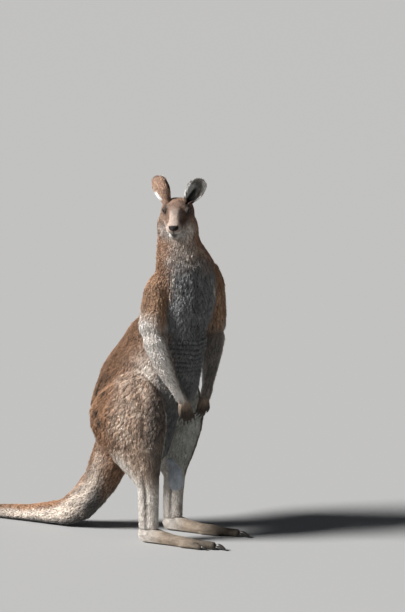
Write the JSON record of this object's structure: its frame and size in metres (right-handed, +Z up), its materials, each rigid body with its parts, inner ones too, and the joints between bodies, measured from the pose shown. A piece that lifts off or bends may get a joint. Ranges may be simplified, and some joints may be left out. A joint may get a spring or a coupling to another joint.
{
  "type": "kangaroo",
  "caption": "Adult male kangaroo standing upright on its hind feet and tail, head and chest turned to its right, forearms hanging in front; a still, life-size figure.",
  "frame": {"origin": "on the floor under the middle of the whole animal's box", "axes": "+Z up; -Y the way the hips and feet face, the tail lying towards +Y; +X the animal's left"},
  "size_m": [0.4864, 1.4846, 1.6204],
  "materials": {
    "fur_back": "dense matt fur, warm brown",
    "fur_flank": "dense matt fur, grey brown",
    "fur_pale": "soft matt fur, pale grey cream",
    "fur_dark": "short matt fur, dark grey brown",
    "bare_skin": "satin, slightly moist",
    "eye": "gloss",
    "claw": "semi-gloss horn"
  },
  "bodies": {
    "root": {"head": "fur_flank", "jaw": "fur_pale", "nose": "bare_skin", "ear_right": "fur_back", "ear_left": "fur_back", "eye_right": "eye", "eye_left": "eye", "neck": "fur_flank", "chest": "fur_back", "belly": "fur_pale", "rump": "fur_back", "tail_root": "fur_back", "tail_middle": "fur_back", "tail_end": "fur_flank", "tail_tip": "fur_dark", "scrotum": "fur_pale", "upper_arm_right": "fur_flank", "forearm_right": "fur_pale", "hand_right": "fur_dark", "claw_thumb_right": "claw", "claw_second_right": "claw", "claw_third_right": "claw", "claw_fourth_right": "claw", "claw_fifth_right": "claw", "thigh_right": "fur_flank", "shank_right": "fur_pale", "foot_right": "fur_dark", "claw_great_toe_right": "claw", "claw_outer_toe_right": "claw", "claw_inner_toe_right": "claw", "upper_arm_left": "fur_flank", "forearm_left": "fur_pale", "hand_left": "fur_dark", "claw_thumb_left": "claw", "claw_second_left": "claw", "claw_third_left": "claw", "claw_fourth_left": "claw", "claw_fifth_left": "claw", "thigh_left": "fur_flank", "shank_left": "fur_pale", "foot_left": "fur_dark", "claw_great_toe_left": "claw", "claw_outer_toe_left": "claw", "claw_inner_toe_left": "claw"}
  },
  "joints": []
}
